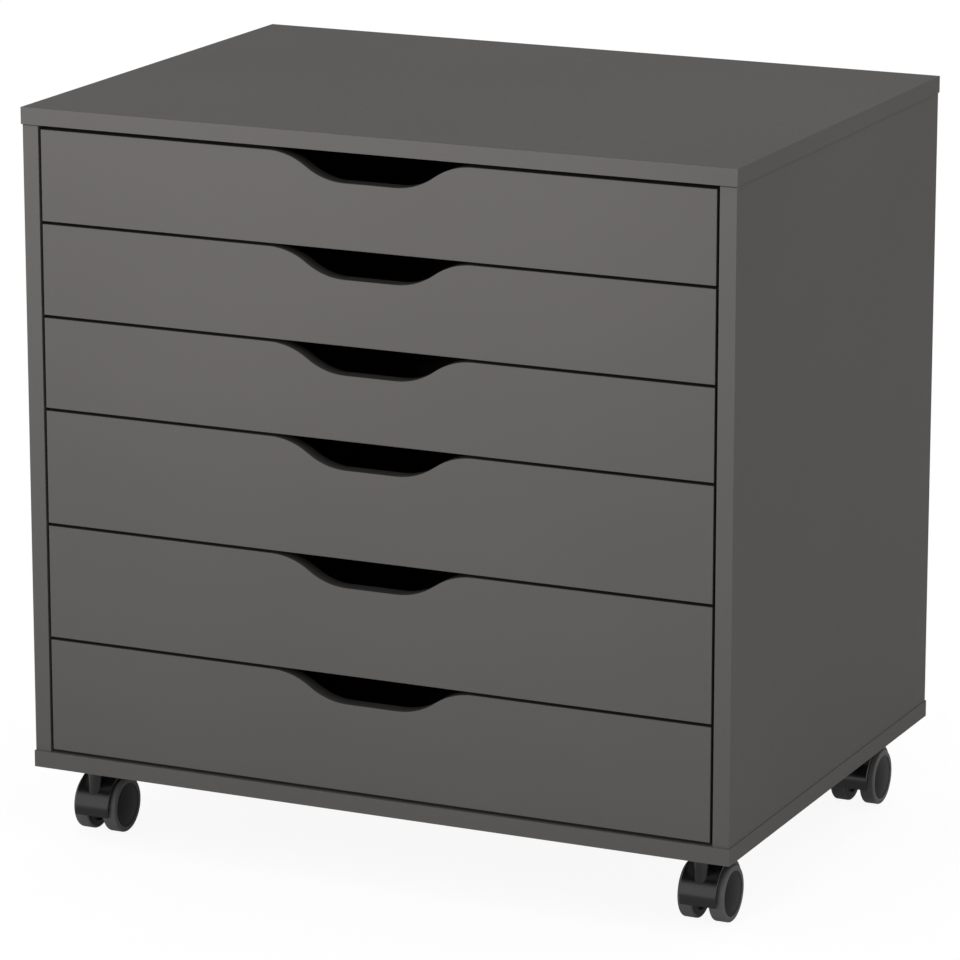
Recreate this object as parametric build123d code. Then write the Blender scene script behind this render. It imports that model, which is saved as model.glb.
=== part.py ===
from build123d import *
from math import asin, atan2, degrees
import os

# Rolling drawer cabinet, in millimetres.
# X runs across the front, Y from front to back, Z up. The origin is on the floor, under the middle.

# Carcass
cabinet_width = 670.0
cabinet_depth = 480.0
slab_thickness = 15.0
side_thickness = 15.0
side_setback = 1.0
front_setback = 1.5
back_setback = 1.0
back_thickness = 4.0
back_inset = 10.0
back_groove_depth = 6.0
groove_clearance = 0.2

# Drawer fronts, from the top down
shallow_front_height = 81.0
deep_front_height = 102.0
front_heights = [shallow_front_height] * 3 + [deep_front_height] * 3
front_thickness = 15.0
front_gap = 2.5
front_side_gap = 2.5
front_top_gap = 3.5
front_bottom_gap = 3.0

# Hand grip cut into the top edge of each front
grip_width = 192.0
grip_floor_width = 48.0
grip_depth = 23.2

# Drawer boxes
box_depth = 425.0
box_end_inset = 4.5
box_rise = 10.0
box_drop = 16.0
box_side_thickness = 12.0
box_back_thickness = 12.0
bottom_thickness = 3.0
bottom_rise = 8.0
bottom_groove_depth = 5.0
drawer_travel = 330.0

# Runners on the side panels, and the groove of the drawer side that rides on them
runner_rise = 18.0
runner_groove_depth = 6.0
runner_setback = 3.5
rib_height = 7.0
stop_height = 6.0
stop_length = 8.0
stop_land = 20.0
rear_stop_length = 8.0
flange_thickness = 2.5
flange_margin = 3.0
running_clearance = 0.3
rib_tip_clearance = 0.6
peg_radius = 2.5
peg_length = 8.0
peg_clearance = 0.05
peg_shares = (0.06, 0.5, 0.94)

# Cam locks in the side panels and their bolts in the top and bottom panels
cam_radius = 6.0
cam_depth = 10.0
cam_distance = 18.0
cam_inset = 60.0
bolt_radius = 2.5
bolt_thread_length = 10.0
fitting_clearance = 0.05

# Casters
caster_height = 70.0
caster_side_inset = 40.6
axle_inset = 59.0
caster_trail = 20.7
wheel_radius = 25.0
wheel_width = 13.5
wheel_gap = 15.2
wheel_shoulder = 1.8
wheel_disc_radius = 20.0
wheel_disc_step = 0.6
wheel_crown_rise = 0.7
wheel_hub_radius = 7.5
wheel_hollow_radius = 18.0
wheel_hollow_depth = 2.5
wheel_bore_depth = 9.0
axle_radius = 3.0
axle_end_gap = 0.5
axle_clearance = 0.08
press_clearance = 0.03
hood_width = 33.5
hood_thickness = 2.5
hood_gap = 3.0
hood_edge_radius = 0.8
hood_lip_drop = 4.9
hood_rear_angle = 30.0
web_thickness = 10.0
axle_boss_radius = 6.5
stem_housing_radius = 6.5
stem_housing_depth = 33.0
stem_radius = 4.0
stem_length = 31.0
stem_clearance = 0.05
stem_end_gap = 0.5
plate_margin = 5.0
plate_thickness = 2.5
plate_corner_radius = 4.0
collar_radius = 8.0
collar_height = 2.0
screw_spacing = 32.0
screw_radius = 2.0
screw_hole_radius = 2.3
screw_grip = 12.0
screw_head_radius = 3.8
screw_head_height = 2.2

# How far cuts run past the faces that they open
overrun = 2.0

# Faces that several pieces share
half_width = cabinet_width / 2
front_y = -cabinet_depth / 2
back_y = cabinet_depth / 2
side_outer = half_width - side_setback
side_inner = side_outer - side_thickness
side_front = front_y + front_setback
side_back = back_y - back_setback
interior_height = (front_top_gap + sum(front_heights) + front_gap * (len(front_heights) - 1)
                   + front_bottom_gap)
base_under = caster_height
base_top = base_under + slab_thickness
top_under = base_top + interior_height
back_face = side_back - back_inset - back_thickness
back_groove = (back_face, back_face + back_thickness + groove_clearance)
back_reach = side_inner + back_groove_depth

front_back = side_front + front_thickness
front_half = side_inner - front_side_gap
box_outer = front_half - box_end_inset
box_inner = box_outer - box_side_thickness
box_back = front_back + box_depth
runner_tip = box_outer - runner_groove_depth + rib_tip_clearance
runner_front = front_back + runner_setback
runner_back = box_back + running_clearance + rear_stop_length
runner_groove_height = stop_height + rib_height + 2 * running_clearance
peg_places = [runner_front + share * (runner_back - runner_front) for share in peg_shares]

cam_places = (side_front + cam_inset, side_back - cam_inset)
cam_levels = (base_top + cam_distance, top_under - cam_distance)

caster_x = half_width - caster_side_inset
front_stem_y = front_y + axle_inset - caster_trail
rear_stem_y = back_y - axle_inset - caster_trail
caster_places = {
    "front_left": (-caster_x, front_stem_y),
    "front_right": (caster_x, front_stem_y),
    "rear_left": (-caster_x, rear_stem_y),
    "rear_right": (caster_x, rear_stem_y),
}
screw_places = [(x + sx * screw_spacing / 2, y + sy * screw_spacing / 2)
                for x, y in caster_places.values() for sx in (-1, 1) for sy in (-1, 1)]


def block(xs, ys, zs):
    """A box between two places along each axis."""
    middle = Pos(sum(xs) / 2, sum(ys) / 2, sum(zs) / 2)
    return middle * Box(xs[1] - xs[0], ys[1] - ys[0], zs[1] - zs[0])


def rod(radius, start, end):
    """A round rod from one point to another along a single axis."""
    line = Vector(*end) - Vector(*start)
    plane = Plane(origin=start, z_dir=line)
    return extrude(plane * Circle(radius), line.length)


def left_of(shape):
    """The mirror image of a right-hand piece."""
    return mirror(shape, about=Plane.YZ)


def save(name, shape):
    export_step(shape, f"parts/{name}.step")


# Heights of each drawer's front, box and runner
class Level:
    def __init__(self, index):
        above = sum(front_heights[:index]) + front_gap * index
        self.front_top = top_under - front_top_gap - above
        self.front_bottom = self.front_top - front_heights[index]
        self.box_bottom = self.front_bottom + box_rise
        self.box_top = self.front_top - box_drop
        self.floor_under = self.box_bottom + bottom_rise
        self.floor_groove = (self.floor_under, self.floor_under + bottom_thickness + groove_clearance)
        self.groove_bottom = self.box_bottom + runner_rise
        self.groove_top = self.groove_bottom + runner_groove_height
        self.rib_top = self.groove_top - running_clearance
        self.rib_under = self.rib_top - rib_height
        self.flange = (self.groove_bottom - flange_margin, self.groove_top + flange_margin)


levels = [Level(index) for index in range(len(front_heights))]


# Carcass panels
def slab(under, groove_zs, bolt_zs):
    """The top or bottom panel, with the groove for the back and the bolt holes."""
    panel = block((-half_width, half_width), (front_y, back_y), (under, under + slab_thickness))
    panel -= block((-back_reach, back_reach), back_groove, groove_zs)
    bolt_x = (side_outer + side_inner) / 2
    for x in (-bolt_x, bolt_x):
        for y in cam_places:
            panel -= rod(bolt_radius + fitting_clearance, (x, y, bolt_zs[0]), (x, y, bolt_zs[1]))
    return panel


def top_panel():
    groove_zs = (top_under - overrun, top_under + back_groove_depth)
    return slab(top_under, groove_zs, (top_under - overrun, top_under + bolt_thread_length))


def bottom_panel():
    groove_zs = (base_top - back_groove_depth, base_top + overrun)
    panel = slab(base_under, groove_zs, (base_top + overrun, base_top - bolt_thread_length))
    for x, y in screw_places:
        screw_top = base_under - plate_thickness + screw_grip
        panel -= rod(screw_radius + fitting_clearance, (x, y, base_under - overrun), (x, y, screw_top))
    return panel


def right_side_panel():
    """The right side panel, with the back's groove, the runners' peg holes and the cam pockets."""
    panel = block((side_inner, side_outer), (side_front, side_back), (base_top, top_under))
    groove_zs = (base_top - overrun, top_under + overrun)
    panel -= block((side_inner - overrun, back_reach), back_groove, groove_zs)
    for level in levels:
        z = sum(level.flange) / 2
        for y in peg_places:
            mouth = (side_inner - overrun, y, z)
            panel -= rod(peg_radius + peg_clearance, mouth, (side_inner + peg_length, y, z))
    bolt_x = (side_outer + side_inner) / 2
    for z, end in zip(cam_levels, (base_top - overrun, top_under + overrun)):
        for y in cam_places:
            mouth = (side_inner - overrun, y, z)
            panel -= rod(cam_radius + fitting_clearance, mouth, (side_inner + cam_depth, y, z))
            panel -= rod(bolt_radius + fitting_clearance, (bolt_x, y, end), (bolt_x, y, z))
    return panel


def back_panel():
    """The back, standing on its groove in the bottom panel."""
    reach = back_reach - groove_clearance
    zs = (base_top - back_groove_depth, top_under + back_groove_depth - groove_clearance)
    return block((-reach, reach), (back_face, back_face + back_thickness), zs)


# Cam fittings of the carcass
def cam_lock(x, y, z, toward):
    """A cam disc with the radial mouth that takes the bolt's end from above or below."""
    disc = rod(cam_radius, (side_inner, y, z), (side_inner + cam_depth, y, z))
    disc -= rod(bolt_radius + fitting_clearance, (x, y, z), (x, y, z + toward * (cam_radius + overrun)))
    return disc


def cam_fittings():
    """The cam locks and the cam bolts of both side panels."""
    locks, bolts = [], []
    x = (side_outer + side_inner) / 2
    for z, toward, face in zip(cam_levels, (-1, 1), (base_top, top_under)):
        for y in cam_places:
            lock = cam_lock(x, y, z, toward)
            bolt_end = (x, y, face + toward * bolt_thread_length)
            bolt = rod(bolt_radius, bolt_end, (x, y, z + toward * bolt_radius))
            locks += [lock, left_of(lock)]
            bolts += [bolt, left_of(bolt)]
    return locks, bolts


# Drawers
def grip_outline():
    """The hand grip, below the front's top edge: each flank is two equal arcs that meet smoothly."""
    rise = grip_depth / 2
    run = (grip_width - grip_floor_width) / 4
    radius = (run ** 2 + rise ** 2) / (2 * rise)
    turn = degrees(atan2(run, radius - rise))
    left = Vector(-grip_width / 2, 0)
    over = JernArc(left, (1, 0), radius, -turn)
    into = JernArc(over @ 1, over % 1, radius, turn)
    floor = Line(into @ 1, (grip_floor_width / 2, -grip_depth))
    out = JernArc(floor @ 1, (1, 0), radius, turn)
    away = JernArc(out @ 1, out % 1, radius, -turn)
    rim = Polyline(away @ 1, (grip_width / 2, overrun), (-grip_width / 2, overrun), left)
    return make_face([over, into, floor, out, away, rim])


def drawer_front(level):
    panel = block((-front_half, front_half), (side_front, front_back), (level.front_bottom, level.front_top))
    plane = Plane(origin=(0, front_back + overrun, level.front_top), x_dir=(1, 0, 0), z_dir=(0, -1, 0))
    panel -= extrude(plane * grip_outline(), front_thickness + 2 * overrun)
    reach = box_inner + bottom_groove_depth
    groove_ys = (front_back - bottom_groove_depth, front_back + overrun)
    panel -= block((-reach, reach), groove_ys, level.floor_groove)
    return panel


def drawer_side(level):
    """The right side: a groove inside for the bottom, and a stepped one outside for the runner."""
    ys = (front_back, box_back)
    side = block((box_inner, box_outer), ys, (level.box_bottom, level.box_top))
    long_ys = (front_back - overrun, box_back + overrun)
    side -= block((box_inner - overrun, box_inner + bottom_groove_depth), long_ys, level.floor_groove)
    groove_xs = (box_outer - runner_groove_depth, box_outer + overrun)
    side -= block(groove_xs, long_ys, (level.rib_under - running_clearance, level.groove_top))
    stopped_ys = (front_back - overrun, box_back - stop_land)
    side -= block(groove_xs, stopped_ys, (level.groove_bottom, level.groove_top))
    return side


def drawer_back(level):
    ys = (box_back - box_back_thickness, box_back)
    back = block((-box_inner, box_inner), ys, (level.box_bottom, level.box_top))
    groove_ys = (ys[0] - overrun, ys[0] + bottom_groove_depth)
    back -= block((-box_inner - overrun, box_inner + overrun), groove_ys, level.floor_groove)
    return back


def drawer_bottom(level):
    """The thin bottom, lying on the lower faces of its grooves."""
    reach = box_inner + bottom_groove_depth - groove_clearance
    front = front_back - bottom_groove_depth + groove_clearance
    back = box_back - box_back_thickness + bottom_groove_depth - groove_clearance
    return block((-reach, reach), (front, back), (level.floor_under, level.floor_under + bottom_thickness))


# Runners
def runner(level):
    """The right runner: flange, rib, the stop under the rib, the closing stop behind and the pegs."""
    whole = (runner_front, runner_back)
    piece = block((side_inner - flange_thickness, side_inner), whole, level.flange)
    piece += block((runner_tip, side_inner), whole, (level.rib_under, level.rib_top))
    stop_face = box_back - stop_land - drawer_travel - running_clearance
    stop_ys = (stop_face - stop_length, stop_face)
    stop_zs = (level.groove_bottom + running_clearance, level.rib_under)
    piece += block((runner_tip, side_inner), stop_ys, stop_zs)
    rear_ys = (runner_back - rear_stop_length, runner_back)
    piece += block((runner_tip, side_inner), rear_ys, level.flange)
    z = sum(level.flange) / 2
    for y in peg_places:
        piece += rod(peg_radius, (side_inner, y, z), (side_inner + peg_length, y, z))
    return piece


# Casters, made round their stem axis, with the wheels behind it
axle_point = (0, caster_trail, wheel_radius)
wheel_inner = wheel_gap / 2
wheel_outer = wheel_inner + wheel_width
hood_outer_radius = wheel_radius + hood_gap + hood_thickness
plate_under = caster_height - plate_thickness
collar_under = plate_under - collar_height
housing_top = collar_under - running_clearance


def wheel():
    """The right wheel: round shoulders, a domed disc outside, a hollow and a blind bore inside."""
    bore = axle_radius + axle_clearance
    bore_end = wheel_inner + wheel_bore_depth
    hollow = wheel_inner + wheel_hollow_depth
    crown = (wheel_outer + wheel_crown_rise, 0)
    disc_edge = (wheel_outer - wheel_disc_step, wheel_disc_radius)
    outline = Polyline(
        crown, (bore_end, 0), (bore_end, bore), (wheel_inner, bore), (wheel_inner, wheel_hub_radius),
        (hollow, wheel_hub_radius), (hollow, wheel_hollow_radius), (wheel_inner, wheel_hollow_radius),
        (wheel_inner, wheel_radius), (wheel_outer, wheel_radius), (wheel_outer, wheel_disc_radius), disc_edge)
    profile = make_face([outline, TangentArc(crown, disc_edge, tangent=(0, 1))])
    profile = fillet(profile.vertices().group_by(Axis.Y)[-1], wheel_shoulder)
    plane = Plane(origin=axle_point, x_dir=(1, 0, 0), z_dir=(0, -1, 0))
    return revolve(plane * profile, Axis(axle_point, (1, 0, 0)))


def hood():
    """The cover over both wheels, the web between them and the housing that turns on the stem."""
    inner_radius = wheel_radius + hood_gap
    lip = 180 + degrees(asin(hood_lip_drop / hood_outer_radius))
    sweep = lip - hood_rear_angle
    plane = Plane(origin=axle_point, x_dir=(0, 1, 0), z_dir=(1, 0, 0))
    outer = CenterArc((0, 0), hood_outer_radius, hood_rear_angle, sweep)
    inner = CenterArc((0, 0), inner_radius, hood_rear_angle, sweep)
    cover = make_face([outer, inner, Line(outer @ 0, inner @ 0), Line(outer @ 1, inner @ 1)])
    body = extrude(plane * cover, hood_width / 2, both=True)
    rims = body.edges().filter_by(GeomType.CIRCLE).group_by(SortBy.RADIUS)[-1]
    body = fillet(rims, hood_edge_radius)
    pie = make_face([outer, Line((0, 0), outer @ 0), Line((0, 0), outer @ 1)])
    body += extrude(plane * pie, web_thickness / 2, both=True)
    body += extrude(plane * Circle(axle_boss_radius), wheel_inner - running_clearance, both=True)
    body += rod(stem_housing_radius, (0, 0, housing_top - stem_housing_depth), (0, 0, housing_top))
    bore_bottom = plate_under - stem_length - stem_end_gap
    body -= rod(stem_radius + stem_clearance, (0, 0, bore_bottom), (0, 0, housing_top + overrun))
    body -= extrude(plane * Circle(axle_radius + press_clearance), hood_width, both=True)
    return body


def axle():
    reach = wheel_inner + wheel_bore_depth - axle_end_gap
    return rod(axle_radius, (-reach, *axle_point[1:]), (reach, *axle_point[1:]))


def caster_mount():
    """The screw-on plate, its collar and the stem."""
    plate_width = screw_spacing + 2 * plate_margin
    outline = RectangleRounded(plate_width, plate_width, plate_corner_radius)
    plate = extrude(Plane.XY.offset(plate_under) * outline, plate_thickness)
    plate += rod(collar_radius, (0, 0, collar_under), (0, 0, plate_under))
    plate += rod(stem_radius, (0, 0, plate_under - stem_length), (0, 0, plate_under))
    for sx in (-1, 1):
        for sy in (-1, 1):
            x, y = sx * screw_spacing / 2, sy * screw_spacing / 2
            plate -= rod(screw_hole_radius, (x, y, plate_under - overrun), (x, y, caster_height + overrun))
    return plate


def caster_screw():
    head = rod(screw_head_radius, (0, 0, plate_under - screw_head_height), (0, 0, plate_under))
    return head + rod(screw_radius, (0, 0, plate_under), (0, 0, plate_under + screw_grip))


# Writing the pieces
os.makedirs("parts", exist_ok=True)

save("top_panel", top_panel())
save("bottom_panel", bottom_panel())
right_panel = right_side_panel()
save("right_side_panel", right_panel)
save("left_side_panel", left_of(right_panel))
save("back_panel", back_panel())

cam_locks, cam_bolts = cam_fittings()
save("cam_locks", Compound(cam_locks))
save("cam_bolts", Compound(cam_bolts))

for number, level in enumerate(levels, start=1):
    right_side = drawer_side(level)
    save(f"drawer_{number}_front", drawer_front(level))
    save(f"drawer_{number}_right_side", right_side)
    save(f"drawer_{number}_left_side", left_of(right_side))
    save(f"drawer_{number}_back", drawer_back(level))
    save(f"drawer_{number}_bottom", drawer_bottom(level))

right_runners = [runner(level) for level in levels]
save("right_runners", Compound(right_runners))
save("left_runners", Compound([left_of(piece) for piece in right_runners]))

right_wheel = wheel()
caster_pieces = {"mount": caster_mount(), "hood": hood(), "axle": axle(),
                 "right_wheel": right_wheel, "left_wheel": left_of(right_wheel)}
for corner, (x, y) in caster_places.items():
    for piece_name, piece in caster_pieces.items():
        save(f"{corner}_caster_{piece_name}", Pos(x, y, 0) * piece)
screw = caster_screw()
save("caster_screws", Compound([Pos(x, y, 0) * screw for x, y in screw_places]))
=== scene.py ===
"""Looks of the rolling drawer cabinet: finishes, casters, floor, light and camera."""
import math

import bmesh
import bpy
from mathutils import Matrix, Vector


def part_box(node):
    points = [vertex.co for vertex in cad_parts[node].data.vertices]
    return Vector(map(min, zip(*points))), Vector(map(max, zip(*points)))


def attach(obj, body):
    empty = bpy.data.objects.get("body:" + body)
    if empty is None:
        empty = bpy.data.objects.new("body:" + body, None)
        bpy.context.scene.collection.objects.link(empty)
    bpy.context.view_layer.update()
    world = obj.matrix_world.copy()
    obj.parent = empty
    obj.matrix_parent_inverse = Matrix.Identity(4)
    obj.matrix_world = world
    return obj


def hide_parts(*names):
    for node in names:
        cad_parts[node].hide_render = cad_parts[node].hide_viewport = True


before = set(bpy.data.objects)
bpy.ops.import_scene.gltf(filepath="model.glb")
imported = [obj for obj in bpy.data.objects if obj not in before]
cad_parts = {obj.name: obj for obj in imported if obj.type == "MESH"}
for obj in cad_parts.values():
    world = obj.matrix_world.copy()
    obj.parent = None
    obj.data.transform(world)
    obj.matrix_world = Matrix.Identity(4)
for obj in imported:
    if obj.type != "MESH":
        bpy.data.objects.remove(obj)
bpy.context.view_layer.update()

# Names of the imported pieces
CORNERS = ("front_left", "front_right", "rear_left", "rear_right")
SIDES = ("left", "right")
DRAWERS = range(1, 7)
CARCASS = ("top_panel", "bottom_panel", "left_side_panel", "right_side_panel")
BOX_BOARDS = ("left_side", "right_side", "back")
RUNNERS = ("left_runners", "right_runners")

# Roundings of edges, in metres. The modifier narrows them on pieces that have short edges.
BOARD_EDGE = 0.0007
BOX_EDGE = 0.0005
PLASTIC_EDGE = 0.0005
THIN_EDGE = 0.0003
EDGE_SEGMENTS = 3

# Limits for the meshes, in metres and radians
WELD_REACH = 0.00001
FLAT_ANGLE = math.radians(0.5)
SHARP_ANGLE = math.radians(35)
TINY = 1e-9

# Painted shadow on the side panels' front edges, just under the top panel's overhang: where it is, and its
# reach in metres
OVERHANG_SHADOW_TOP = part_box("top_panel")[0].z
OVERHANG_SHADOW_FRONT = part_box("left_side_panel")[0].y
OVERHANG_SHADOW_FADE = (0.0012, 0.0004)
OVERHANG_SHADOW_CLEAR = 0.00002
OVERHANG_SHADOW_REACH = 0.0010

# Colours, linear
PAINT_LOW = (0.131, 0.1255, 0.1206, 1)
PAINT_HIGH = (0.137, 0.1313, 0.1262, 1)
# A front's sawn edges: darker than its face, and partly painted shade for the gaps and the grip
SHADED_EDGE_LOW = (0.050, 0.0478, 0.0459, 1)
SHADED_EDGE_HIGH = (0.054, 0.0517, 0.0495, 1)
# The colour of the painted shadow under the top panel's overhang
OVERHANG_SHADOW = (0.010, 0.0095, 0.0090, 1)
FOIL_LOW = (0.078, 0.076, 0.073, 1)
FOIL_HIGH = (0.088, 0.086, 0.083, 1)
FIBRE_LOW = (0.066, 0.064, 0.061, 1)
FIBRE_HIGH = (0.085, 0.083, 0.079, 1)
RUNNER_LOW = (0.040, 0.040, 0.040, 1)
RUNNER_HIGH = (0.050, 0.050, 0.050, 1)
STEEL_LOW = (0.46, 0.46, 0.47, 1)
STEEL_HIGH = (0.58, 0.58, 0.59, 1)
HOOD_LOW = (0.0045, 0.0044, 0.0043, 1)
HOOD_HIGH = (0.0060, 0.0059, 0.0058, 1)
TREAD_LOW = (0.112, 0.112, 0.111, 1)
TREAD_HIGH = (0.134, 0.134, 0.132, 1)
CORE_LOW = (0.006, 0.006, 0.006, 1)
CORE_HIGH = (0.009, 0.009, 0.009, 1)
WHITE = (1, 1, 1, 1)
FLOOR = (0.85, 0.85, 0.85, 1)
FLOOR_SEEN = (0.13, 0.13, 0.13, 1)
SKY_LOW = (0.152, 0.152, 0.152, 1)
SKY_HIGH = (0.762, 0.762, 0.762, 1)
CEILING = (0.03, 0.03, 0.03, 1)

# Most values of a noise texture lie between these
NOISE_RANGE = (0.3, 0.7)

# How far a face's normal lies along an axis, from where it starts to count to where it counts in full
FACING_RANGE = (0.45, 0.85)

# Sockets of a colour Mix node, which share their names with those for other kinds of mixing
MIX_LOW, MIX_HIGH, MIX_RESULT = 6, 7, 2


class Nodes:
    """Short calls for the nodes of one tree."""

    def __init__(self, tree):
        self.tree = tree

    def feed(self, socket, value):
        """Links another node's output to a socket, or sets the socket's own value."""
        if isinstance(value, bpy.types.NodeSocket):
            self.tree.links.new(value, socket)
        else:
            socket.default_value = value

    def add(self, kind, sockets=None, **settings):
        node = self.tree.nodes.new(kind)
        for key, value in settings.items():
            setattr(node, key, value)
        for key, value in (sockets or {}).items():
            self.feed(node.inputs[key], value)
        return node

    def arithmetic(self, operation, *values, **settings):
        return self.add("ShaderNodeMath", dict(enumerate(values)), operation=operation, **settings).outputs[0]

    def part(self, vector, axis):
        return self.add("ShaderNodeSeparateXYZ", {0: vector}).outputs[axis]

    def ranged(self, value, source, target=(0.0, 1.0), **settings):
        """A value mapped from one range to another, and kept inside it."""
        sockets = {"Value": value, "From Min": source[0], "From Max": source[1],
                   "To Min": target[0], "To Max": target[1]}
        return self.add("ShaderNodeMapRange", sockets, **settings).outputs["Result"]

    def blend(self, share, low, high):
        """A colour between two, by a share from 0 to 1."""
        sockets = {"Factor": share, MIX_LOW: low, MIX_HIGH: high}
        return self.add("ShaderNodeMix", sockets, data_type="RGBA").outputs[MIX_RESULT]


class Finish(Nodes):
    """A procedural material."""

    def __init__(self, name):
        self.material = bpy.data.materials.new(name)
        self.material.use_nodes = True
        super().__init__(self.material.node_tree)
        self.shader = self.tree.nodes["Principled BSDF"]
        self.place = self.add("ShaderNodeTexCoord").outputs["Object"]

    def noise(self, scale, detail, stretch=(1, 1, 1)):
        """A noise value, with its scale in cycles per metre, stretched along the axes."""
        place = self.add("ShaderNodeMapping", {"Vector": self.place, "Scale": stretch}).outputs[0]
        texture = self.add("ShaderNodeTexNoise", {"Vector": place, "Scale": scale, "Detail": detail})
        return texture.outputs["Fac"]

    def spread(self, noise, low, high):
        """A noise value mapped to a range."""
        return self.ranged(noise, NOISE_RANGE, (low, high))

    def tint(self, noise, low, high):
        """A colour between two, by a noise value."""
        return self.blend(self.spread(noise, 0.0, 1.0), low, high)

    def facing(self, axis):
        """1 where a face looks along an axis, either way, and 0 where it is square to it."""
        normal = self.add("ShaderNodeNewGeometry").outputs["Normal"]
        return self.ranged(self.arithmetic("ABSOLUTE", self.part(normal, axis)), FACING_RANGE)

    def overhang_shadow(self):
        """Painted shadow: 1 on a front edge just under the top panel's overhang, fading to 0 below, and 0
        elsewhere.
        """
        height, depth = self.part(self.place, "Z"), self.part(self.place, "Y")
        share = self.ranged(height, [OVERHANG_SHADOW_TOP - reach for reach in OVERHANG_SHADOW_FADE])
        below = self.arithmetic("LESS_THAN", height, OVERHANG_SHADOW_TOP - OVERHANG_SHADOW_CLEAR)
        in_front = self.arithmetic("LESS_THAN", depth, OVERHANG_SHADOW_FRONT + OVERHANG_SHADOW_REACH)
        return self.arithmetic("MULTIPLY", self.arithmetic("MULTIPLY", share, below), in_front)

    def bump(self, noise, depth, strength):
        """A normal with a fine relief of that depth in metres."""
        sockets = {"Height": noise, "Distance": depth, "Strength": strength}
        return self.add("ShaderNodeBump", sockets).outputs["Normal"]

    def surface(self, colour, roughness, normal, **constants):
        """The finished material, with constants set on the shader's own sockets."""
        self.feed(self.shader.inputs["Base Color"], colour)
        self.feed(self.shader.inputs["Roughness"], roughness)
        self.feed(self.shader.inputs["Normal"], normal)
        for name, value in constants.items():
            self.shader.inputs[name.replace("_", " ")].default_value = value
        return self.material


def painted_board(name, is_front):
    """Matte paint with a very fine orange peel, darker on a front's sawn edges and in its gaps and grip,
    which is partly painted shade, and with a painted shadow on the carcass under the top panel's overhang.
    """
    f = Finish(name)
    cloud = f.noise(scale=4.0, detail=4.0)
    peel = f.noise(scale=420.0, detail=3.0)
    colour = f.tint(cloud, PAINT_LOW, PAINT_HIGH)
    if is_front:
        # Painted shade: faces of a front that don't look along Y, its edges in the gaps and the grip, are
        # darker, for sawn edges and for the shade there
        colour = f.blend(f.facing("Y"), f.tint(cloud, SHADED_EDGE_LOW, SHADED_EDGE_HIGH), colour)
    else:
        # Painted shadow under the top panel's overhang, on the side panels' front edges
        colour = f.blend(f.overhang_shadow(), colour, OVERHANG_SHADOW)
    return f.surface(colour, f.spread(peel, 0.6, 0.7),
                     f.bump(peel, depth=0.00012, strength=0.12), Specular_IOR_Level=0.04)


def drawer_foil():
    """Embossed foil, with faint lines along the drawer's depth."""
    f = Finish("drawer_foil")
    grain = f.noise(scale=260.0, detail=4.0, stretch=(1.0, 0.06, 1.0))
    return f.surface(f.tint(grain, FOIL_LOW, FOIL_HIGH), f.spread(grain, 0.46, 0.6),
                     f.bump(grain, depth=0.0001, strength=0.2), Specular_IOR_Level=0.4)


def hard_fibreboard():
    """Printed fibreboard, with a mottled colour and a fine fibrous tooth."""
    f = Finish("hard_fibreboard")
    mottle = f.noise(scale=130.0, detail=6.0)
    tooth = f.noise(scale=1500.0, detail=2.0)
    return f.surface(f.tint(mottle, FIBRE_LOW, FIBRE_HIGH), f.spread(tooth, 0.55, 0.72),
                     f.bump(tooth, depth=0.0001, strength=0.25), Specular_IOR_Level=0.35)


def moulded(name, low, high, roughness, tooth_scale, relief, **constants):
    """Moulded plastic or rubber with a fine tooth."""
    f = Finish(name)
    tooth = f.noise(scale=tooth_scale, detail=3.0)
    cloud = f.noise(scale=60.0, detail=3.0)
    return f.surface(f.tint(cloud, low, high), f.spread(tooth, *roughness),
                     f.bump(tooth, depth=0.00008, strength=relief), **constants)


def plated_steel():
    """Zinc plated steel with faint rolling lines."""
    f = Finish("plated_steel")
    lines = f.noise(scale=900.0, detail=3.0, stretch=(0.08, 1.0, 1.0))
    return f.surface(f.tint(lines, STEEL_LOW, STEEL_HIGH), f.spread(lines, 0.28, 0.42),
                     f.bump(lines, depth=0.00004, strength=0.15), Metallic=1.0)


PAINT = painted_board("painted_board", is_front=False)
FRONT_PAINT = painted_board("painted_front", is_front=True)
FOIL = drawer_foil()
FIBREBOARD = hard_fibreboard()
RUNNER = moulded("runner_plastic", RUNNER_LOW, RUNNER_HIGH, roughness=(0.38, 0.5),
                 tooth_scale=1200.0, relief=0.2)
STEEL = plated_steel()
HOOD = moulded("hood_plastic", HOOD_LOW, HOOD_HIGH, roughness=(0.16, 0.22),
               tooth_scale=800.0, relief=0.05, Specular_IOR_Level=0.75)
TREAD = moulded("tread_rubber", TREAD_LOW, TREAD_HIGH, roughness=(0.5, 0.62),
                tooth_scale=1400.0, relief=0.25, Specular_IOR_Level=0.3)
CORE = moulded("core_plastic", CORE_LOW, CORE_HIGH, roughness=(0.30, 0.38),
               tooth_scale=1100.0, relief=0.12, Specular_IOR_Level=0.12)


def finish(node, material):
    """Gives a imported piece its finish."""
    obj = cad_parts[node]
    obj.data.materials.clear()
    obj.data.materials.append(material)
    return obj


def dress(node, material, edge):
    """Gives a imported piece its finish, and rounds its sharp edges by modifiers."""
    obj = finish(node, material)
    weld = obj.modifiers.new("weld", "WELD")
    weld.merge_threshold = WELD_REACH
    flat = obj.modifiers.new("flat", "DECIMATE")
    flat.decimate_type = "DISSOLVE"
    flat.angle_limit = FLAT_ANGLE
    bevel = obj.modifiers.new("round", "BEVEL")
    bevel.width = edge
    bevel.segments = EDGE_SEGMENTS
    bevel.limit_method = "ANGLE"
    bevel.angle_limit = SHARP_ANGLE
    bevel.harden_normals = True
    bevel.loop_slide = False


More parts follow.
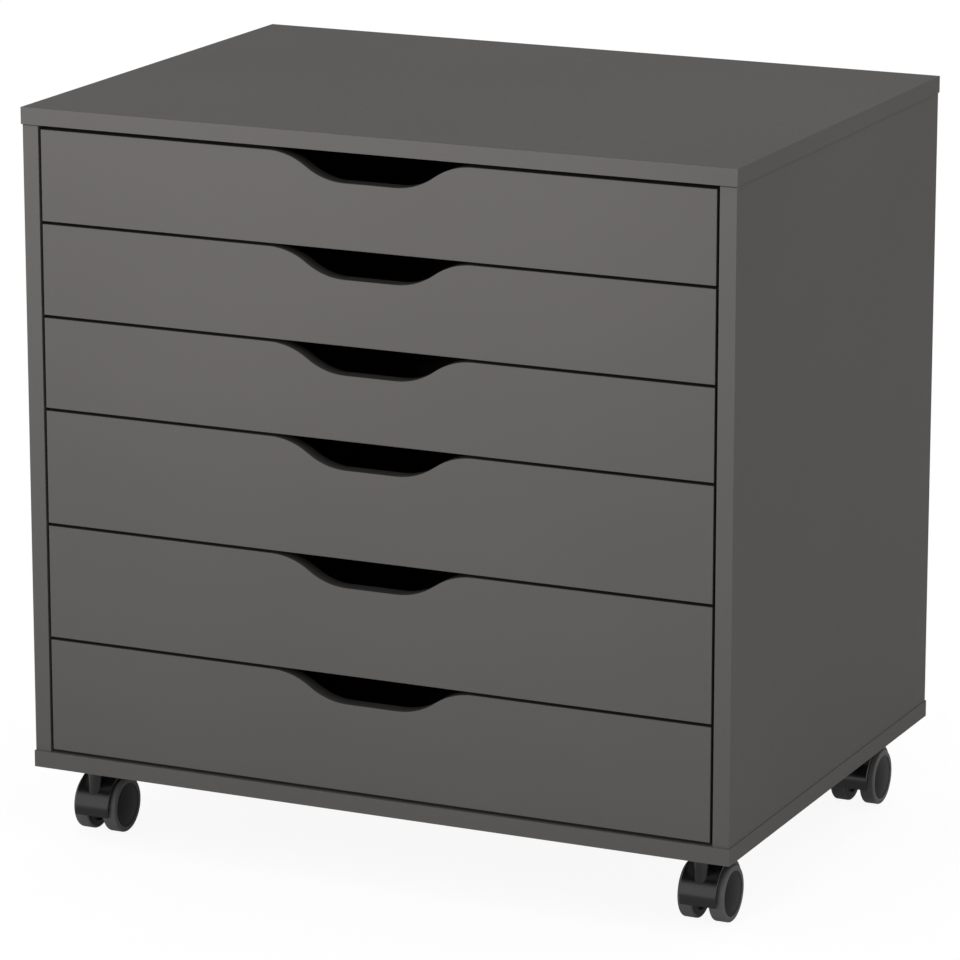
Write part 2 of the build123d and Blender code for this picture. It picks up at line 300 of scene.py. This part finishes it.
for name in CARCASS:
    dress(name, PAINT, BOARD_EDGE)
dress("back_panel", FIBREBOARD, THIN_EDGE)
for number in DRAWERS:
    dress(f"drawer_{number}_front", FRONT_PAINT, BOARD_EDGE)
    for board in BOX_BOARDS:
        dress(f"drawer_{number}_{board}", FOIL, BOX_EDGE)
    dress(f"drawer_{number}_bottom", FIBREBOARD, THIN_EDGE)
for name in RUNNERS:
    dress(name, RUNNER, PLASTIC_EDGE)
dress("cam_bolts", STEEL, THIN_EDGE)
for corner in CORNERS:
    dress(f"{corner}_caster_mount", STEEL, THIN_EDGE)
    dress(f"{corner}_caster_axle", STEEL, THIN_EDGE)
    # The hoods keep their own roundings, because the modifiers spoil the shading of curved shells
    finish(f"{corner}_caster_hood", HOOD)


# Turned pieces: outlines of (along the axis, out from it, corner rounding), in metres
ARC_STEPS = 6


def rounded(corners):
    """A closed outline with arcs at those of its corners that have a rounding."""
    loop = []
    for index, (along, out, rounding) in enumerate(corners):
        here = Vector((along, out))
        if rounding == 0:
            loop.append(here)
            continue
        back = (Vector(corners[index - 1][:2]) - here).normalized()
        ahead = (Vector(corners[(index + 1) % len(corners)][:2]) - here).normalized()
        half = back.angle(ahead) / 2
        reach = rounding / math.tan(half)
        centre = here + (back + ahead).normalized() * (rounding / math.sin(half))
        start = (here + back * reach - centre).normalized()
        end = (here + ahead * reach - centre).normalized()
        loop += [centre + rounding * start.slerp(end, step / ARC_STEPS) for step in range(ARC_STEPS + 1)]
    return loop


def turned(loop, sides):
    """A mesh made by turning a closed outline round the X axis."""
    bm = bmesh.new()
    rings = []
    for point in loop:
        turns = [math.tau * index / sides for index in range(1 if abs(point.y) < TINY else sides)]
        rings.append([bm.verts.new((point.x, point.y * math.cos(turn), point.y * math.sin(turn)))
                      for turn in turns])
    for ring, after in zip(rings, rings[1:] + rings[:1]):
        if len(ring) == len(after) == 1:
            continue
        for index in range(sides):
            ahead = (index + 1) % sides
            corners = [ring[index % len(ring)], ring[ahead % len(ring)],
                       after[ahead % len(after)], after[index % len(after)]]
            bm.faces.new(list(dict.fromkeys(corners)))
    bmesh.ops.recalc_face_normals(bm, faces=bm.faces)
    return bm


def add_piece(name, bm, material, body, slot, *nodes):
    """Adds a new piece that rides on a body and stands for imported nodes."""
    mesh = bpy.data.meshes.new(name)
    bm.to_mesh(mesh)
    bm.free()
    mesh.polygons.foreach_set("use_smooth", [True] * len(mesh.polygons))
    mesh.set_sharp_from_angle(angle=SHARP_ANGLE)
    mesh.materials.append(material)
    obj = bpy.data.objects.new(name, mesh)
    bpy.context.scene.collection.objects.link(obj)
    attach(obj, body)
    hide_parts(*nodes)


# Wheels: a soft tyre round a hard core with a domed face, in metres
DISC_RADIUS = 0.0200
DISC_STEP = 0.0006
CROWN_RISE = 0.0007
DOME_STEPS = 10
TYRE_SEAT = 0.0040
TYRE_BORE = 0.0195
TYRE_LIP = 0.0005
SHOULDER = 0.0018
INNER_RIM = 0.0228
INNER_SEAT = 0.0010
CORE_HOLLOW = 0.0180
CORE_LIP = 0.0003
HUB_RADIUS = 0.0075
HUB_LIP = 0.0004
HUB_HOLLOW = 0.0025
HOLLOW_FILLET = 0.0006
BORE_RADIUS = 0.0031
BORE_DEPTH = 0.0090
SEAM = 0.00004
WHEEL_SIDES = 96


def tyre_outline(width, radius):
    """The tyre, from the wheel's inner side outwards along its axis."""
    return rounded([(INNER_SEAT, TYRE_BORE, 0), (INNER_SEAT, INNER_RIM, 0), (0, INNER_RIM, 0),
                    (0, radius, SHOULDER), (width, radius, SHOULDER),
                    (width, DISC_RADIUS, TYRE_LIP), (width - TYRE_SEAT, DISC_RADIUS, 0),
                    (width - TYRE_SEAT, TYRE_BORE, 0)])


def core_outline(width):
    """The core that fills the tyre but for a seam: bore, hub, hollow, inner rim, drum and domed disc."""
    rim, drum, inner_rim = DISC_RADIUS - SEAM, TYRE_BORE - SEAM, INNER_RIM - SEAM
    flange, inner_flange = width - TYRE_SEAT + SEAM, INNER_SEAT - SEAM
    rise = DISC_STEP + CROWN_RISE
    ball = (rim ** 2 + rise ** 2) / (2 * rise)
    outs = [rim * step / DOME_STEPS for step in reversed(range(DOME_STEPS))]
    dome = [(width + CROWN_RISE - ball + math.sqrt(ball ** 2 - out ** 2), out, 0) for out in outs]
    return rounded([(BORE_DEPTH, 0, 0), (BORE_DEPTH, BORE_RADIUS, 0), (0, BORE_RADIUS, CORE_LIP),
                    (0, HUB_RADIUS, HUB_LIP), (HUB_HOLLOW, HUB_RADIUS, HOLLOW_FILLET),
                    (HUB_HOLLOW, CORE_HOLLOW, HOLLOW_FILLET), (0, CORE_HOLLOW, CORE_LIP),
                    (0, inner_rim, CORE_LIP), (inner_flange, inner_rim, 0), (inner_flange, drum, 0),
                    (flange, drum, 0), (flange, rim, 0),
                    (width - DISC_STEP, rim, CORE_LIP), *dome])


def make_wheel(corner, side):
    """The tyre and core of one wheel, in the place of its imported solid."""
    node = f"{corner}_caster_{side}_wheel"
    low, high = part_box(node)
    width, radius = high.x - low.x - CROWN_RISE, (high.z - low.z) / 2
    outward = 1 if side == "right" else -1
    inner = low.x if outward > 0 else high.x
    middle = Matrix.Translation((inner, (low.y + high.y) / 2, (low.z + high.z) / 2))
    place = middle @ Matrix.Scale(outward, 4, (1, 0, 0))
    layers = (("tyre", tyre_outline(width, radius), TREAD), ("core", core_outline(width), CORE))
    for layer, outline, material in layers:
        bm = turned(outline, WHEEL_SIDES)
        bmesh.ops.transform(bm, matrix=place, verts=bm.verts)
        bmesh.ops.recalc_face_normals(bm, faces=bm.faces)
        add_piece(f"{corner}_{side}_{layer}", bm, material, f"{corner}_{side}_wheel", "wheel_plastic", node)


for corner in CORNERS:
    for side in SIDES:
        make_wheel(corner, side)


# Screws and cams, with a cross recess in their faces
RECESS_TAPER = 0.7
HEAD_SIDES = 40


def cross(arm, thickness, depth, top):
    """A cross-shaped cutter along the X axis, a little narrower at its bottom."""
    bm = bmesh.new()
    for wide, high in ((arm, thickness), (thickness, arm)):
        for vert in bmesh.ops.create_cube(bm, size=1.0)["verts"]:
            taper = 1.0 if vert.co.x > 0 else RECESS_TAPER
            along = top + depth if vert.co.x > 0 else top - depth
            vert.co = (along, wide * taper * vert.co.y, high * taper * vert.co.z)
    return bm


def carved(bm, cutter):
    """The first mesh with the second, whose parts may cross each other, cut out of it."""
    objects = []
    for index, source in enumerate((bm, cutter)):
        mesh = bpy.data.meshes.new(f"carving_{index}")
        source.to_mesh(mesh)
        source.free()
        objects.append(bpy.data.objects.new(f"carving_{index}", mesh))
        bpy.context.scene.collection.objects.link(objects[-1])
    cut = objects[0].modifiers.new("cut", "BOOLEAN")
    cut.object = objects[1]
    cut.use_self = True
    graph = bpy.context.evaluated_depsgraph_get()
    result = bmesh.new()
    result.from_object(objects[0], graph)
    for obj in objects:
        bpy.data.objects.remove(obj)
    return result


def copies(bm, places):
    """One mesh with a copy of another at each place."""
    single = bpy.data.meshes.new("single")
    bm.to_mesh(single)
    bm.free()
    many = bmesh.new()
    for place in places:
        start = len(many.verts)
        many.from_mesh(single)
        many.verts.ensure_lookup_table()
        bmesh.ops.transform(many, matrix=place, verts=many.verts[start:])
    bpy.data.meshes.remove(single)
    return many


def along(direction):
    """A turn that takes the X axis to a direction."""
    return Vector(direction).to_track_quat("X", "Z").to_matrix().to_4x4()


# Sizes in metres. A recess has the length and thickness of its arms and its depth.
SCREW_SPACING = 0.032
SCREW_SHANK = 0.0020
SCREW_GRIP = 0.0120
SCREW_TIP = 0.0008
SCREW_HEAD_RADIUS = 0.0038
SCREW_HEAD = 0.0022
SCREW_HEAD_RIM = 0.0002
SCREW_HEAD_CROWN = 0.0013
SCREW_RECESS = (0.0044, 0.0011, 0.0014)


def make_screws():
    """Pan-head screws that hold the caster plates, seated on the plates' undersides."""
    screw = rounded([(-SCREW_GRIP, 0, 0), (-SCREW_GRIP, SCREW_SHANK, SCREW_TIP), (0, SCREW_SHANK, 0),
                     (0, SCREW_HEAD_RADIUS, SCREW_HEAD_RIM),
                     (SCREW_HEAD, SCREW_HEAD_RADIUS, SCREW_HEAD_CROWN), (SCREW_HEAD, 0, 0)])
    recess = cross(*SCREW_RECESS, top=SCREW_HEAD)
    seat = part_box("caster_screws")[0].z + SCREW_HEAD
    places = []
    for corner in CORNERS:
        low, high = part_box(f"{corner}_caster_mount")
        for sx in (-1, 1):
            for sy in (-1, 1):
                x = (low.x + high.x + sx * SCREW_SPACING) / 2
                y = (low.y + high.y + sy * SCREW_SPACING) / 2
                places.append(Matrix.Translation((x, y, seat)) @ along((0, 0, -1)))
    bm = copies(carved(turned(screw, HEAD_SIDES), recess), places)
    add_piece("caster_plate_screws", bm, STEEL, "cabinet", "steel", "caster_screws")


CAM_RADIUS = 0.0060
CAM_DEPTH = 0.0100
CAM_FOOT = 0.0004
CAM_RIM = 0.0005
CAM_RECESS = (0.0076, 0.0018, 0.0022)


def make_cams():
    """Cam discs in the side panels, flush with their inner faces."""
    disc = rounded([(-CAM_DEPTH, 0, 0), (-CAM_DEPTH, CAM_RADIUS, CAM_FOOT),
                    (0, CAM_RADIUS, CAM_RIM), (0, 0, 0)])
    recess = cross(*CAM_RECESS, top=0)
    low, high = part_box("cam_locks")
    places = []
    for x, inward in ((low.x + CAM_DEPTH, 1), (high.x - CAM_DEPTH, -1)):
        for y in (low.y + CAM_RADIUS, high.y - CAM_RADIUS):
            for z in (low.z + CAM_RADIUS, high.z - CAM_RADIUS):
                places.append(Matrix.Translation((x, y, z)) @ along((inward, 0, 0)))
    bm = copies(carved(turned(disc, HEAD_SIDES), recess), places)
    add_piece("cam_discs", bm, STEEL, "cabinet", "zinc_fittings", "cam_locks")


make_screws()
make_cams()


# Floor and backdrop: sizes in metres, and how strongly glossy pieces mirror the white of the floor, which is
# less near the cabinet as a painted shade in reflections
FLOOR_SIZE = 40.0
FLOOR_GLOW = 0.92
# Painted shade round the cabinet: the share of the white that mirrors see, from near to far, between these
# distances from the middle
MIRRORED = (0.32, 1.0)
MIRRORED_RADIUS = (0.47, 0.80)

# Heights where the soft light and the seen backdrop change, as the sine of the angle above the horizon
SOFT_CHANGE = (0.12, 0.60)
SEEN_CHANGE = (0.40, 0.66)


def seen_directly(nodes, mirrored):
    """1 for rays that see a surface directly, a share for those from a mirror or glass, 0 for soft light."""
    path = nodes.add("ShaderNodeLightPath").outputs
    total = path["Is Camera Ray"]
    for ray in ("Is Glossy Ray", "Is Transmission Ray"):
        total = nodes.arithmetic("MULTIPLY_ADD", path[ray], mirrored, total, use_clamp=True)
    return total


def make_floor():
    """A pale floor that looks white and keeps a soft shadow, with a painted shade round the cabinet where
    mirrors see it.
    """
    mesh = bpy.data.meshes.new("floor")
    half = FLOOR_SIZE / 2
    corners = [(-half, -half, 0), (half, -half, 0), (half, half, 0), (-half, half, 0)]
    mesh.from_pydata(corners, [], [(0, 1, 2, 3)])
    floor = bpy.data.objects.new("floor", mesh)
    bpy.context.scene.collection.objects.link(floor)
    f = Finish("pale_floor")
    tooth = f.noise(scale=300.0, detail=2.0)
    f.surface(f.blend(seen_directly(f, 1.0), FLOOR, FLOOR_SEEN), f.spread(tooth, 0.75, 0.85),
              f.bump(tooth, depth=0.0001, strength=0.05), Specular_IOR_Level=0.0)
    away = f.add("ShaderNodeVectorMath", {0: f.place}, operation="LENGTH").outputs["Value"]
    # Painted shade: in reflections the floor's glow is dimmer near the cabinet
    seen = seen_directly(f, f.ranged(away, MIRRORED_RADIUS, MIRRORED))
    strength = f.arithmetic("MULTIPLY", seen, FLOOR_GLOW)
    glow = f.add("ShaderNodeEmission", {"Color": WHITE, "Strength": strength})
    both = f.add("ShaderNodeAddShader", {0: f.shader.outputs[0], 1: glow.outputs[0]})
    f.feed(f.tree.nodes["Material Output"].inputs["Surface"], both.outputs[0])
    mesh.materials.append(f.material)


def graded(nodes, change, low, high):
    """A background that goes from one colour near the horizon to another overhead."""
    way = nodes.add("ShaderNodeTexCoord").outputs["Generated"]
    share = nodes.ranged(nodes.part(way, "Z"), change, interpolation_type="SMOOTHSTEP")
    sockets = {"Color": nodes.blend(share, low, high), "Strength": 1.0}
    return nodes.add("ShaderNodeBackground", sockets).outputs[0]


def make_world():
    """Soft light, mostly from above, and where it is seen, a white backdrop under a dark ceiling."""
    world = bpy.data.worlds.new("studio")
    bpy.context.scene.world = world
    world.use_nodes = True
    nodes = Nodes(world.node_tree)
    nodes.tree.nodes.remove(nodes.tree.nodes["Background"])
    both = nodes.add("ShaderNodeMixShader", {0: seen_directly(nodes, 1.0),
                                             1: graded(nodes, SOFT_CHANGE, SKY_LOW, SKY_HIGH),
                                             2: graded(nodes, SEEN_CHANGE, WHITE, CEILING)})
    nodes.feed(nodes.tree.nodes["World Output"].inputs["Surface"], both.outputs[0])


def soft_box(name, place, target, width, height, watts, spread):
    """A soft box at one place, turned to another, with a grid that narrows its light to so many degrees."""
    data = bpy.data.lights.new(name, "AREA")
    data.shape = "RECTANGLE"
    data.size, data.size_y = width, height
    data.energy = watts
    data.spread = math.radians(spread)
    lamp = bpy.data.objects.new(name, data)
    lamp.location = place
    lamp.visible_camera = False
    lamp.visible_glossy = False
    lamp.rotation_euler = (Vector(target) - Vector(place)).to_track_quat("-Z", "Y").to_euler()
    bpy.context.scene.collection.objects.link(lamp)


make_floor()
make_world()
soft_box("key", place=(-0.5, -3.2, 1.05), target=(-0.1, -0.24, 1.25),
         width=0.7, height=0.7, watts=8.3, spread=56.0)
soft_box("fill", place=(3.4, -0.4, 0.7), target=(0.3, 0.0, 0.45),
         width=1.4, height=1.0, watts=2.6, spread=120.0)

# Camera: a long lens, a little above and to the right of the front, in metres, degrees and sensor millimetres
FOCAL_PIXELS = 5249.5
IMAGE_PIXELS = 960
SENSOR = 36.0
CLIP = (0.1, 100.0)
CAMERA_PLACE = (1.9095, -4.1424, 1.4875)
CAMERA_DOWN = 14.422
CAMERA_TURN = 24.832


def make_camera():
    """The camera, fitted to the photograph's view."""
    data = bpy.data.cameras.new("camera")
    data.sensor_width = SENSOR
    data.lens = FOCAL_PIXELS * SENSOR / IMAGE_PIXELS
    data.clip_start, data.clip_end = CLIP
    camera = bpy.data.objects.new("camera", data)
    camera.location = CAMERA_PLACE
    camera.rotation_euler = (math.radians(90 - CAMERA_DOWN), 0, math.radians(CAMERA_TURN))
    bpy.context.scene.collection.objects.link(camera)
    bpy.context.scene.camera = camera


make_camera()
bpy.context.scene.view_settings.view_transform = "Standard"
